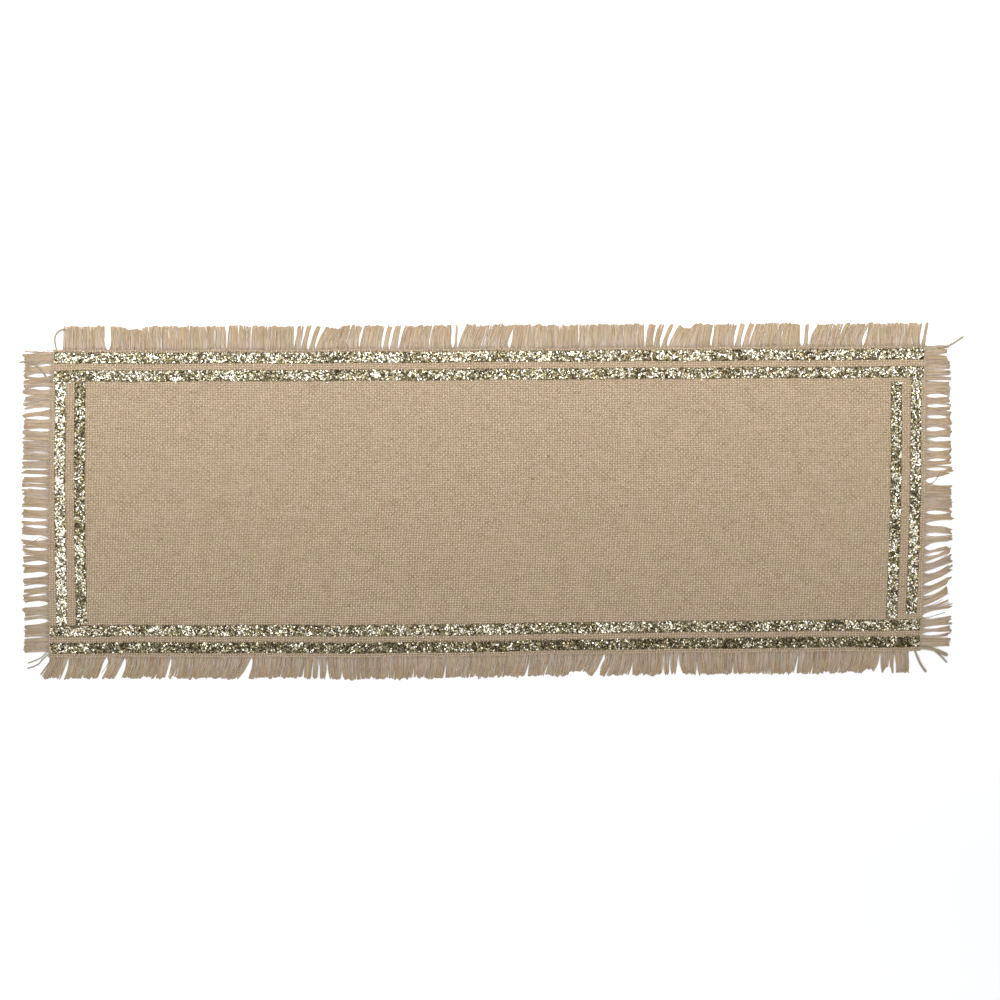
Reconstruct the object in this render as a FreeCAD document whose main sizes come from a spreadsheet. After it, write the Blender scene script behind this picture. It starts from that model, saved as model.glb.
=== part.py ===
"""Jute table runner: a plain woven cloth, eight glitter bands and a frayed fringe on four sides.

Millimetres, +Z up. The origin is on the table, under the middle of the runner.
+X runs along the runner and +Y across it. "Back" is the long side at +Y, "front" the one at -Y,
"left" the short side at -X and "right" the one at +X.
"""
import FreeCAD, Part
import os

import Sketcher

# The driving dimensions: alias, value, meaning. Every size below is worked out from these.
SIZES = (
    ("overall_length", 914.0, "from the left fringe tips to the right ones"),
    ("overall_width", 351.0, "from the front fringe tips to the back ones"),
    ("cloth_length", 862.0, "woven cloth along X"),
    ("cloth_width", 303.0, "woven cloth along Y"),
    ("cloth_thickness", 1.2, "two crossing yarns"),
    ("edge_lean", 4.7, "how far the back edge lies to +X of the front edge"),
    ("back_rise", 3.5, "how far the right end of the back edge lies to +Y of the left end"),
    ("front_rise", 6.7, "the same for the front edge"),
    ("back_trim_rise", 2.3, "the same for the line that the back fringe is trimmed to"),
    ("front_trim_rise", 6.5, "the same for the front fringe's trim line"),
    ("fringe_thickness", 0.9, "one layer of loose yarn ends"),
    ("fringe_root", 1.5, "strip at the cloth where neighbouring tufts still hang together"),
    ("tuft_gap_root", 0.5, "gap between two tufts at that strip"),
    ("tuft_gap_tip", 2.4, "gap between two tufts at their tips"),
    ("long_tuft_count", 24, "tufts on the back and on the front side"),
    ("short_tuft_count", 31, "tufts on the left and on the right side"),
    ("gap_overrun", 6.0, "how far a gap's sketch runs past the tips"),
    ("band_width", 10.7, "one glitter band"),
    ("band_thickness", 0.4, "glue film and the flakes in it"),
    ("back_inset", 2.8, "back edge of the cloth to the outer back band"),
    ("front_inset", 4.0, "front edge of the cloth to the outer front band"),
    ("left_inset_back", 3.0, "left edge to the outer left band, at its back end"),
    ("left_inset_front", 8.0, "the same at its front end"),
    ("right_inset_back", 4.0, "right edge to the outer right band, at its back end"),
    ("right_inset_front", 5.4, "the same at its front end"),
    ("back_gap", 7.0, "between the two back bands"),
    ("front_gap", 6.0, "between the two front bands"),
    ("side_gap", 8.6, "between the two bands of a short side"),
    ("long_band_end", 1.5, "end of a long band to the edge of the cloth"),
    ("left_outer_back_end", 1.0, "outer left band's back end to the inner back band"),
    ("left_inner_back_end", 1.0, "inner left band's back end to the inner back band"),
    ("right_outer_back_end", 0.6, "outer right band's back end to the inner back band"),
    ("right_inner_back_end", 4.0, "inner right band's back end to the inner back band"),
    ("left_outer_front_end", 0.3, "outer left band's front end to the inner front band"),
    ("left_inner_front_end", 0.6, "inner left band's front end to the inner front band"),
    ("right_outer_front_end", 6.0, "outer right band's front end to the inner front band"),
    ("right_inner_front_end", 1.4, "inner right band's front end to the inner front band"),
)

HALF_LENGTH = "Sizes.cloth_length / 2"
HALF_WIDTH = "Sizes.cloth_width / 2"
VOLUME_TOLERANCE = 1e-3


def make_sheet(doc):
    """The spreadsheet of driving dimensions, one alias to a row."""
    sheet = doc.addObject("Spreadsheet::Sheet", "Sizes")
    for row, (alias, value, meaning) in enumerate(SIZES, start=1):
        sheet.set(f"A{row}", alias.replace("_", " "))
        sheet.set(f"B{row}", str(value))
        sheet.setAlias(f"B{row}", alias)
        sheet.set(f"C{row}", meaning)
    doc.recompute()
    return sheet


def on_cloth(along, across):
    """Expressions for the X and Y of a point of the cloth.

    along and across are expressions measured on the cloth as it was cut, a true rectangle.
    The cloth lies slightly out of square: its ends lean, and its long edges rise to the right.
    """
    mean_rise = "(Sizes.back_rise + Sizes.front_rise) / 2"
    rise_change = "(Sizes.back_rise - Sizes.front_rise)"
    x = f"({along}) + Sizes.edge_lean * ({across}) / Sizes.cloth_width"
    rise = f"({mean_rise} + {rise_change} * ({across}) / Sizes.cloth_width)"
    y = f"({across}) + {rise} * ({along}) / Sizes.cloth_length"
    return x, y


def pin(sketch, kind, vertex, expression):
    """Ties one coordinate of a sketch vertex to an expression, whatever its sign."""
    value = sketch.evalExpression(expression)
    if value >= 0:
        constraint = Sketcher.Constraint(kind, -1, 1, vertex, 1, value)
        bound = expression
    else:
        constraint = Sketcher.Constraint(kind, vertex, 1, -1, 1, -value)
        bound = f"-({expression})"
    index = sketch.addConstraint(constraint)
    sketch.setExpression(f"Constraints[{index}]", bound)


def add_outline(body, name, corners):
    """A closed sketch on the body's XY plane, through corners given as pairs of expressions."""
    sketch = body.newObject("Sketcher::SketchObject", name)
    plane = next(f for f in body.Origin.OriginFeatures if f.Role == "XY_Plane")
    sketch.AttachmentSupport = [(plane, "")]
    sketch.MapMode = "FlatFace"
    points = [
        FreeCAD.Vector(sketch.evalExpression(x), sketch.evalExpression(y), 0)
        for x, y in corners
    ]
    count = len(points)
    for i in range(count):
        sketch.addGeometry(Part.LineSegment(points[i], points[(i + 1) % count]), False)
    for i in range(count):
        sketch.addConstraint(Sketcher.Constraint("Coincident", i, 2, (i + 1) % count, 1))
    for i, (x, y) in enumerate(corners):
        pin(sketch, "DistanceX", i, x)
        pin(sketch, "DistanceY", i, y)
    return sketch


def add_layer(doc, name, corners, thickness, height=None):
    """A body named for its piece: one flat layer with that outline, thickness and height above the table."""
    body = doc.addObject("PartDesign::Body", name)
    body.Label = name
    outline = add_outline(body, f"{name}_outline", corners)
    pad = body.newObject("PartDesign::Pad", f"{name}_layer")
    pad.Profile = outline
    pad.setExpression("Length", thickness)
    if height is not None:
        body.setExpression("Placement.Base.z", height)
    doc.recompute()
    return body


def add_cloth(doc):
    """The woven cloth, with raw edges and no hem."""
    corners = [
        on_cloth(f"-{HALF_LENGTH}", f"-{HALF_WIDTH}"),
        on_cloth(HALF_LENGTH, f"-{HALF_WIDTH}"),
        on_cloth(HALF_LENGTH, HALF_WIDTH),
        on_cloth(f"-{HALF_LENGTH}", HALF_WIDTH),
    ]
    return add_layer(doc, "base_cloth", corners, "Sizes.cloth_thickness")


def add_band(doc, name, corners):
    """One glitter band, lying on the cloth."""
    return add_layer(doc, name, corners, "Sizes.band_thickness", "Sizes.cloth_thickness")


def add_long_bands(doc):
    """The outer and the inner band of the back and of the front side."""
    bodies = []
    end = f"({HALF_LENGTH} - Sizes.long_band_end)"
    for side, sign in (("back", 1), ("front", -1)):
        for place in ("outer", "inner"):
            inset = f"Sizes.{side}_inset"
            if place == "inner":
                inset = f"({inset} + Sizes.band_width + Sizes.{side}_gap)"
            rim = f"{sign} * ({HALF_WIDTH} - {inset})"
            inward = f"{sign} * ({HALF_WIDTH} - {inset} - Sizes.band_width)"
            low, high = (inward, rim) if sign > 0 else (rim, inward)
            corners = [
                on_cloth(f"-{end}", low),
                on_cloth(end, low),
                on_cloth(end, high),
                on_cloth(f"-{end}", high),
            ]
            bodies.append(add_band(doc, f"band_{side}_{place}", corners))
    return bodies


def add_side_bands(doc):
    """The outer and the inner band of the left and of the right side, between the inner long bands."""
    bodies = []
    for side, sign in (("left", -1), ("right", 1)):
        for place in ("outer", "inner"):
            shift = "0" if place == "outer" else "(Sizes.band_width + Sizes.side_gap)"
            ends = {}
            for end, way in (("back", 1), ("front", -1)):
                ends[end] = (
                    f"{way} * ({HALF_WIDTH} - Sizes.{end}_inset - 2 * Sizes.band_width"
                    f" - Sizes.{end}_gap - Sizes.{side}_{place}_{end}_end)"
                )
            corners = []
            for end, outer_edge in (("front", sign < 0), ("front", sign > 0),
                                    ("back", sign > 0), ("back", sign < 0)):
                inset = f"Sizes.{side}_inset_{end} + {shift}"
                if not outer_edge:
                    inset = f"{inset} + Sizes.band_width"
                corners.append(on_cloth(f"{sign} * ({HALF_LENGTH} - ({inset}))", ends[end]))
            bodies.append(add_band(doc, f"band_{side}_{place}", corners))
    return bodies


def cut_into_tufts(doc, body, gap_corners, count, span, axis_role):
    """Cuts a fringe strip into count tufts with evenly spaced gaps along one axis."""
    name = body.Label
    strip_volume = body.Shape.Volume
    gap_outline = add_outline(body, f"{name}_gap_outline", gap_corners)
    gap = body.newObject("PartDesign::Pocket", f"{name}_gap")
    gap.Profile = gap_outline
    gap.Type = "ThroughAll"
    gap.Reversed = True
    doc.recompute()
    if gap.Shape.Volume > strip_volume * (1 - VOLUME_TOLERANCE):
        raise RuntimeError(f"{name}: the gap cuts nothing")
    gaps = body.newObject("PartDesign::LinearPattern", f"{name}_gaps")
    gaps.Originals = [gap]
    axis = next(f for f in body.Origin.OriginFeatures if f.Role == axis_role)
    gaps.Direction = (axis, [""])
    gaps.setExpression("Occurrences", f"{count} - 1")
    gaps.setExpression("Length", f"({span}) * ({count} - 2) / {count}")
    body.Tip = gaps
    doc.recompute()


def add_long_fringes(doc):
    """The back and the front fringe: the free ends of the yarns that run across the runner."""
    bodies = []
    count = "Sizes.long_tuft_count"
    pitch = f"Sizes.cloth_length / {count}"
    for side, sign in (("back", 1), ("front", -1)):
        root_left = on_cloth(f"-{HALF_LENGTH}", f"{sign} * {HALF_WIDTH}")
        root_right = on_cloth(HALF_LENGTH, f"{sign} * {HALF_WIDTH}")
        short_tip = f"{sign} * (Sizes.overall_width / 2 - Sizes.{side}_trim_rise)"
        long_tip = f"{sign} * Sizes.overall_width / 2"
        tip_left = (root_left[0], short_tip if sign > 0 else long_tip)
        tip_right = (root_right[0], long_tip if sign > 0 else short_tip)
        corners = [root_left, root_right, tip_right, tip_left]
        if sign < 0:
            corners.reverse()
        body = add_layer(doc, f"fringe_{side}", corners, "Sizes.fringe_thickness")
        middle = f"(-{HALF_LENGTH} + {sign} * Sizes.edge_lean / 2 + {pitch})"
        near = f"{sign} * ({HALF_WIDTH} + Sizes.{side}_rise / 2 + Sizes.fringe_root)"
        far = f"{sign} * (Sizes.overall_width / 2 + Sizes.gap_overrun)"
        gap_corners = [
            (f"{middle} - Sizes.tuft_gap_root / 2", near),
            (f"{middle} + Sizes.tuft_gap_root / 2", near),
            (f"{middle} + Sizes.tuft_gap_tip / 2", far),
            (f"{middle} - Sizes.tuft_gap_tip / 2", far),
        ]
        cut_into_tufts(doc, body, gap_corners, count, "Sizes.cloth_length", "X_Axis")
        bodies.append(body)
    return bodies


def add_short_fringes(doc):
    """The left and the right fringe: the free ends of the yarns that run along the runner."""
    bodies = []
    count = "Sizes.short_tuft_count"
    pitch = f"Sizes.cloth_width / {count}"
    for side, sign in (("left", -1), ("right", 1)):
        root_front = on_cloth(f"{sign} * {HALF_LENGTH}", f"-{HALF_WIDTH}")
        root_back = on_cloth(f"{sign} * {HALF_LENGTH}", HALF_WIDTH)
        tip = f"{sign} * Sizes.overall_length / 2"
        corners = [root_front, (tip, root_front[1]), (tip, root_back[1]), root_back]
        if sign < 0:
            corners.reverse()
        body = add_layer(doc, f"fringe_{side}", corners, "Sizes.fringe_thickness")
        mean_rise = "(Sizes.back_rise + Sizes.front_rise) / 4"
        middle = f"(-{HALF_WIDTH} + {sign} * {mean_rise} + {pitch})"
        near = f"{sign} * ({HALF_LENGTH} + Sizes.edge_lean / 2 + Sizes.fringe_root)"
        far = f"{sign} * (Sizes.overall_length / 2 + Sizes.gap_overrun)"
        gap_corners = [
            (near, f"{middle} - Sizes.tuft_gap_root / 2"),
            (far, f"{middle} - Sizes.tuft_gap_tip / 2"),
            (far, f"{middle} + Sizes.tuft_gap_tip / 2"),
            (near, f"{middle} + Sizes.tuft_gap_root / 2"),
        ]
        cut_into_tufts(doc, body, gap_corners, count, "Sizes.cloth_width", "Y_Axis")
        bodies.append(body)
    return bodies


def check(doc, bodies):
    """Stops unless every object of the document computed and every piece is a valid solid."""
    for item in doc.Objects:
        if "Invalid" in item.State or "Error" in item.State:
            raise RuntimeError(f"{item.Name} failed: {item.State}")
    for body in bodies:
        if body.Shape.isNull() or not body.Shape.isValid() or not body.Shape.Solids:
            raise RuntimeError(f"{body.Label} has no valid solid")


def write(bodies):
    """Writes each piece to parts/, in a file named for it."""
    os.makedirs("parts", exist_ok=True)
    for body in bodies:
        body.Shape.exportStep(f"parts/{body.Label}.step")
        box = body.Shape.BoundBox
        print(
            f"{body.Label}: {len(body.Shape.Solids)} solids,"
            f" X {box.XMin:.1f} to {box.XMax:.1f}, Y {box.YMin:.1f} to {box.YMax:.1f},"
            f" Z {box.ZMin:.2f} to {box.ZMax:.2f}"
        )


def main():
    """Builds the document, checks it and writes the pieces."""
    doc = FreeCAD.newDocument("TableRunner")
    make_sheet(doc)
    bodies = [add_cloth(doc)]
    bodies += add_long_bands(doc)
    bodies += add_side_bands(doc)
    bodies += add_long_fringes(doc)
    bodies += add_short_fringes(doc)
    doc.recompute()
    check(doc, bodies)
    write(bodies)


main()
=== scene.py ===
"""Jute table runner with glitter bands and a frayed fringe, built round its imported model.

The file is laid out as a Blender add-on and is run as a script. Lengths are in metres.
u runs along the cloth and v across it, both measured from the middle of the cloth as it was cut.
Lengthwise yarns run along u and crosswise yarns along v.
"Back" is the long side at +Y, "front" the one at -Y, "left" the short side at -X, "right" the one at +X.
"""

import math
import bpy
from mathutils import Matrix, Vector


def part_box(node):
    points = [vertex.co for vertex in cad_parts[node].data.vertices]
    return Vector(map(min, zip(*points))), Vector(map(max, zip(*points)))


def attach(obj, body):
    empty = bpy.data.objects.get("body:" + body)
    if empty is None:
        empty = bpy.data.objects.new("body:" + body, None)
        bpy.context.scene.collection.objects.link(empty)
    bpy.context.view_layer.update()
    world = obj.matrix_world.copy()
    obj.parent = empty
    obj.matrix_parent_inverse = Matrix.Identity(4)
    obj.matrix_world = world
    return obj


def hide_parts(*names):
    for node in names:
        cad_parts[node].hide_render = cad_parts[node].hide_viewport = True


bl_info = {
    "name": "Jute Table Runner",
    "version": (1, 0, 0),
    "blender": (4, 5, 0),
    "location": "View3D > Sidebar > Runner",
    "description": "A woven jute runner with glitter bands and a frayed fringe",
    "category": "Add Mesh",
}

import zlib

import bpy
import numpy as np
from mathutils import Vector

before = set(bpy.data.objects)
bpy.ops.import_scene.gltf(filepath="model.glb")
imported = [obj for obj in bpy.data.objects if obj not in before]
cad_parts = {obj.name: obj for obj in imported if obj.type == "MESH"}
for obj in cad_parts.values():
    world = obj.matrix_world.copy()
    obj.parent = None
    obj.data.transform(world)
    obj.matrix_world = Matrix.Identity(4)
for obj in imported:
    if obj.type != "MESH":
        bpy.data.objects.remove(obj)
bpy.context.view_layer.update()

MM = 0.001
BODY = "root"
LONG_SIDES = ("back", "front")
SHORT_SIDES = ("left", "right")
BANDS = tuple(f"{side}_{place}" for side in LONG_SIDES + SHORT_SIDES for place in ("outer", "inner"))


# ---- Places, read from the frame ----

def outline(node):
    """Corners of a flat four-sided CAD node: front left, front right, back right, back left."""
    points = np.array([v.co[:2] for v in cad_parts[node].data.vertices])
    return np.array([points[np.argmax(points @ way)] for way in ((-1, -1), (1, -1), (1, 1), (-1, 1))])


def on_quad(corners, s, t):
    """The point a share s along and a share t across a four-sided outline."""
    s = np.asarray(s, float)[..., None]
    t = np.asarray(t, float)[..., None]
    front = corners[0] * (1 - s) + corners[1] * s
    back = corners[3] * (1 - s) + corners[2] * s
    return front * (1 - t) + back * t


CLOTH = outline("base_cloth")
CLOTH_LENGTH = CLOTH[1][0] - CLOTH[0][0]
CLOTH_WIDTH = (CLOTH[3][1] + CLOTH[2][1] - CLOTH[0][1] - CLOTH[1][1]) / 2
CLOTH_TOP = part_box("base_cloth")[1].z
BOWS = (
    # how far the left and the right end bow towards +X, and how far in from the end that reaches
    (-1.6 * MM, -1, 0.11),
    (2.0 * MM, 1, 0.11),
)
SAGS = (
    # how far the back and the front edge move towards +Y, where along X, and how far that reaches
    (-1.0 * MM, 1, -0.20, 0.32),
    (-2.1 * MM, -1, -0.09, 0.17),
)
RIPPLES = (
    # height, wave count along X, wave count along Y, phase: the cloth's soft unevenness
    (0.35 * MM, 2.3, 0.8, 0.4),
    (0.25 * MM, 5.1, -1.6, 2.0),
    (0.15 * MM, 9.7, 2.9, 4.1),
)


def settle(xy, z):
    """Lays flat points down: the cloth's sides are not quite straight and it ripples on the table."""
    x, y = xy[..., 0], xy[..., 1]
    shift_x = 0.2 * MM * np.sin(y * 31 + x * 4)
    for bow, end, reach in BOWS:
        near = np.exp(-(((x - end * CLOTH_LENGTH / 2) / reach) ** 2))
        shift_x = shift_x + bow * near * np.cos(math.pi * np.clip(y / CLOTH_WIDTH, -0.5, 0.5))
    shift_y = 0.25 * MM * np.sin(x * 47 + y * 9)
    for sag, side, place, reach in SAGS:
        near = np.exp(-(((x - place) / reach) ** 2))
        shift_y = shift_y + sag * near * np.clip(side * y / CLOTH_WIDTH * 2, 0, 1)
    lift = 0
    for height, along, across, phase in RIPPLES:
        wave = np.sin(2 * math.pi * (along * x / CLOTH_LENGTH + across * y / CLOTH_WIDTH) + phase)
        lift = lift + height * (1 + wave) / 2
    return np.stack([x + shift_x, y + shift_y, z + lift], axis=-1)


def lay(u, v, z):
    """The place on the table of a point of the cloth."""
    return settle(on_quad(CLOTH, u / CLOTH_LENGTH + 0.5, v / CLOTH_WIDTH + 0.5), z)


# ---- Sizes and colours that a user would change ----

def length(name, description, default):
    """A length property, in metres."""
    return bpy.props.FloatProperty(
        name=name, description=description, default=default, min=0, precision=5, unit="LENGTH"
    )


def share(name, description, default):
    """A plain number property."""
    return bpy.props.FloatProperty(name=name, description=description, default=default, min=0)


def colour(name, description, default):
    """A colour property, linear."""
    return bpy.props.FloatVectorProperty(
        name=name, description=description, default=default, size=3, min=0, max=1, subtype="COLOR"
    )


class WeaveSettings(bpy.types.PropertyGroup):
    """The woven cloth and its yarns."""

    crosswise_yarns: bpy.props.IntProperty(
        name="Crosswise yarns", description="Yarns that run across the runner", default=334, min=2
    )
    lengthwise_yarns: bpy.props.IntProperty(
        name="Lengthwise yarns", description="Yarns that run along the runner", default=134, min=2
    )
    crosswise_fill: share("Crosswise fill", "Share of its pitch that a crosswise yarn covers", 0.78)
    lengthwise_fill: share("Lengthwise fill", "Share of its pitch that a lengthwise yarn covers", 0.85)
    yarn_thickness: length("Yarn thickness", "Height of a flattened yarn", 0.56 * MM)
    unevenness: share("Unevenness", "How far yarns stray, as a share of their pitch", 0.022)
    # Painted light: crosswise yarns are painted paler, a highlight, where they lie on top, and lengthwise
    # yarns darker there, painted shade.
    crown: share("Crown", "How much paler crosswise yarns are where they lie on top", 0.20)
    straw: colour("Straw", "The yarn's main colour", (0.452, 0.342, 0.229))
    pale: colour("Pale straw", "The lightest fibres", (0.602, 0.483, 0.356))
    bark: colour("Bark", "The darkest fibres", (0.262, 0.176, 0.10))
    # Painted shade with fibre haze: the colour of the dark sheet seen in the holes between the yarns.
    shade: colour("Shade", "The fibre web seen between the yarns", (0.285, 0.202, 0.127))


class GlitterSettings(bpy.types.PropertyGroup):
    """The glitter bands."""

    flake_width: length("Flake width", "Across the flats of one hexagonal flake", 1.35 * MM)
    coverage: share("Coverage", "Flake area laid on each unit of band area", 1.25)
    lean: bpy.props.FloatProperty(
        name="Lean", description="How far flakes tilt", default=math.radians(15), subtype="ANGLE"
    )
    glue: colour("Glue", "Glue film under the flakes", (0.055, 0.044, 0.019))
    # Painted light: these five foils are lit and shaded copies of one gold foil; the foils named Cream and
    # Champagne are painted glints, those named Olive and Umber painted shade.
    glint_cream: colour("Cream foil, painted glint", "Brightest flakes", (1.0, 0.965, 0.87))
    glint_champagne: colour("Champagne foil, painted glint", "Pale gold flakes", (0.88, 0.80, 0.60))
    gold: colour("Gold foil", "Middle gold flakes", (0.36, 0.295, 0.15))
    shaded_olive: colour("Olive foil, painted shade", "Dark green-gold flakes", (0.115, 0.094, 0.045))
    umber_and_shade: colour("Umber foil, painted shade", "Darkest flakes", (0.034, 0.025, 0.013))


class FringeSettings(bpy.types.PropertyGroup):
    """The frayed yarn ends."""

    strands: bpy.props.IntProperty(
        name="Strands", description="Strands that one yarn end frays into", default=6, min=1
    )
    strand_width: length("Strand width", "One strand at the cloth", 0.90 * MM)
    strand_thickness: length("Strand thickness", "Height of a strand", 0.30 * MM)
    ragged: length("Ragged", "How unevenly single strands are cut", 0.35 * MM)
    straw: colour("Straw", "Main colour of the fringe", (0.418, 0.31, 0.2))
    pale: colour("Pale straw", "Lightest strands", (0.545, 0.438, 0.324))
    bark: colour("Bark", "Darkest strands", (0.26, 0.175, 0.10))
    tip: colour("Tip", "Warmer colour towards the tips", (0.43, 0.305, 0.17))
    ash: colour("Ash", "Greyer colour near the cloth", (0.475, 0.405, 0.34))
    weathered: colour("Weathered", "Loose yarns at the corners", (0.27, 0.235, 0.15))


class StudioSettings(bpy.types.PropertyGroup):
    """Floor, light and camera."""

    view_height: length("View height", "Height of the picture at the cloth", 0.988)
    lens: bpy.props.FloatProperty(name="Lens", description="Focal length in millimetres", default=100)
    floor: colour("Floor", "Pale table top", (0.93, 0.93, 0.93))
    key_power: bpy.props.FloatProperty(name="Key light", description="Power in watts", default=4.1)
    fill_power: bpy.props.FloatProperty(name="Fill light", description="Power in watts", default=25)
    sky: share("Surrounding light", "Strength of the even light all round", 0.80)


# ---- Small tools ----

def random_for(name):
    """A random generator of its own for a piece, the same in every run."""
    return np.random.default_rng(zlib.crc32(name.encode()))


def smooth_step(x):
    """Rises smoothly from 0 to 1."""
    x = np.clip(x, 0, 1)
    return x * x * (3 - 2 * x)


def wander(table, row, position, step):
    """Smooth random values: each row of the table holds one yarn's values, a step apart along it."""
    place = position / step
    low = np.clip(np.floor(place).astype(int), 0, table.shape[1] - 2)
    part = smooth_step(place - low)
    return table[row, low] * (1 - part) + table[row, low + 1] * part


def only(ob):
    """Makes one object the selected and active one."""
    bpy.ops.object.select_all(action="DESELECT")
    ob.select_set(True)
    bpy.context.view_layer.objects.active = ob


def get_points(ob):
    """An object's vertices as an array."""
    points = np.empty(len(ob.data.vertices) * 3, np.float32)
    ob.data.vertices.foreach_get("co", points)
    return points.reshape(-1, 3).astype(float)


def set_points(ob, points):
    """Moves an object's vertices."""
    ob.data.vertices.foreach_set("co", np.ascontiguousarray(points, np.float32).ravel())
    ob.data.update()


def set_value(ob, name, values):
    """Stores one number for each vertex, for the materials to read."""
    attribute = ob.data.attributes.new(name, "FLOAT", "POINT")
    attribute.data.foreach_set("value", np.ascontiguousarray(values, np.float32))


def mesh_object(name, points, faces, material_of_face=None):
    """A new object from vertices and from faces that all have the same number of corners."""
    mesh = bpy.data.meshes.new(name)
    count, corners = faces.shape
    mesh.vertices.add(len(points))
    mesh.vertices.foreach_set("co", np.ascontiguousarray(points, np.float32).ravel())
    mesh.loops.add(count * corners)
    mesh.loops.foreach_set("vertex_index", faces.astype(np.int32).ravel())
    mesh.polygons.add(count)
    mesh.polygons.foreach_set("loop_start", np.arange(0, count * corners, corners, dtype=np.int32))
    if material_of_face is not None:
        mesh.polygons.foreach_set("material_index", material_of_face.astype(np.int32))
    mesh.update(calc_edges=True)
    mesh.validate()
    ob = bpy.data.objects.new(name, mesh)
    bpy.context.scene.collection.objects.link(ob)
    return ob


def new_grid(name, cells_x, cells_y):
    """A flat grid, one unit wide and deep, centred on the origin."""
    bpy.ops.object.select_all(action="DESELECT")
    bpy.ops.mesh.primitive_grid_add(x_subdivisions=cells_x, y_subdivisions=cells_y, size=1)
    ob = bpy.context.object
    ob.name = ob.data.name = name
    return ob


def thicken(ob, thickness):
    """Gives a sheet its thickness, downwards from its face."""
    only(ob)
    shell = ob.modifiers.new("Thickness", "SOLIDIFY")
    shell.thickness = thickness
    shell.offset = -1
    bpy.ops.object.modifier_apply(modifier=shell.name)


def finish_piece(ob, slot, *materials, smooth=True):
    """Shades a finished piece smooth or flat, gives it its materials and attaches it to its body."""
    if smooth:
        ob.data.shade_smooth()
    else:
        ob.data.shade_flat()
    for material in materials:
        ob.data.materials.append(material)
    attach(ob, BODY)


# ---- Materials ----

class Nodes:
    """Short names for the nodes of one tree."""

    def __init__(self, tree):
        self.tree = tree

    def add(self, kind, **settings):
        node = self.tree.nodes.new(kind)
        for name, value in settings.items():
            setattr(node, name, value)
        return node

    def put(self, socket, value):
        if isinstance(value, bpy.types.NodeSocket):
            self.tree.links.new(value, socket)
        else:
            socket.default_value = value

    def place(self):
        return self.add("ShaderNodeTexCoord").outputs["Object"]

    def value(self, name):
        return self.add("ShaderNodeAttribute", attribute_name=name).outputs["Fac"]

    def bump(self, height, strength, distance):
        node = self.add("ShaderNodeBump")
        self.put(node.inputs["Height"], height)
        node.inputs["Strength"].default_value = strength
        node.inputs["Distance"].default_value = distance
        return node.outputs[0]

    def math(self, operation, a, b=0.0):
        node = self.add("ShaderNodeMath", operation=operation)
        self.put(node.inputs[0], a)
        self.put(node.inputs[1], b)
        return node.outputs[0]

    def mix(self, share_of_b, a, b):
        node = self.add("ShaderNodeMix", data_type="RGBA")
        self.put(node.inputs["Factor"], share_of_b)
        self.put(node.inputs[6], a)
        self.put(node.inputs[7], b)
        return node.outputs[2]

    def stretch(self, vector, scale, turn=0.0):
        node = self.add("ShaderNodeMapping")
        self.put(node.inputs["Vector"], vector)
        node.inputs["Rotation"].default_value = (0, 0, turn)
        node.inputs["Scale"].default_value = scale
        return node.outputs[0]

    def noise(self, vector, detail=2.0, roughness=0.5, scale=1.0):
        node = self.add("ShaderNodeTexNoise")
        self.put(node.inputs["Vector"], vector)
        node.inputs["Scale"].default_value = scale
        node.inputs["Detail"].default_value = detail
        node.inputs["Roughness"].default_value = roughness
        return node.outputs[0]

    def between(self, value, low, high, to_low=0.0, to_high=1.0):
        node = self.add("ShaderNodeMapRange", interpolation_type="SMOOTHSTEP")
        for socket, number in zip(node.inputs, (value, low, high, to_low, to_high)):
            self.put(socket, number)
        return node.outputs[0]


def new_group(name, inputs, outputs):
    """An empty shader node group with those sockets, its input node and its output node."""
    group = bpy.data.node_groups.new(name, "ShaderNodeTree")
    for label, kind in inputs:
        group.interface.new_socket(name=label, in_out="INPUT", socket_type=kind)
    for label, kind in outputs:
        group.interface.new_socket(name=label, in_out="OUTPUT", socket_type=kind)
    return group, group.nodes.new("NodeGroupInput"), group.nodes.new("NodeGroupOutput")


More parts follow.
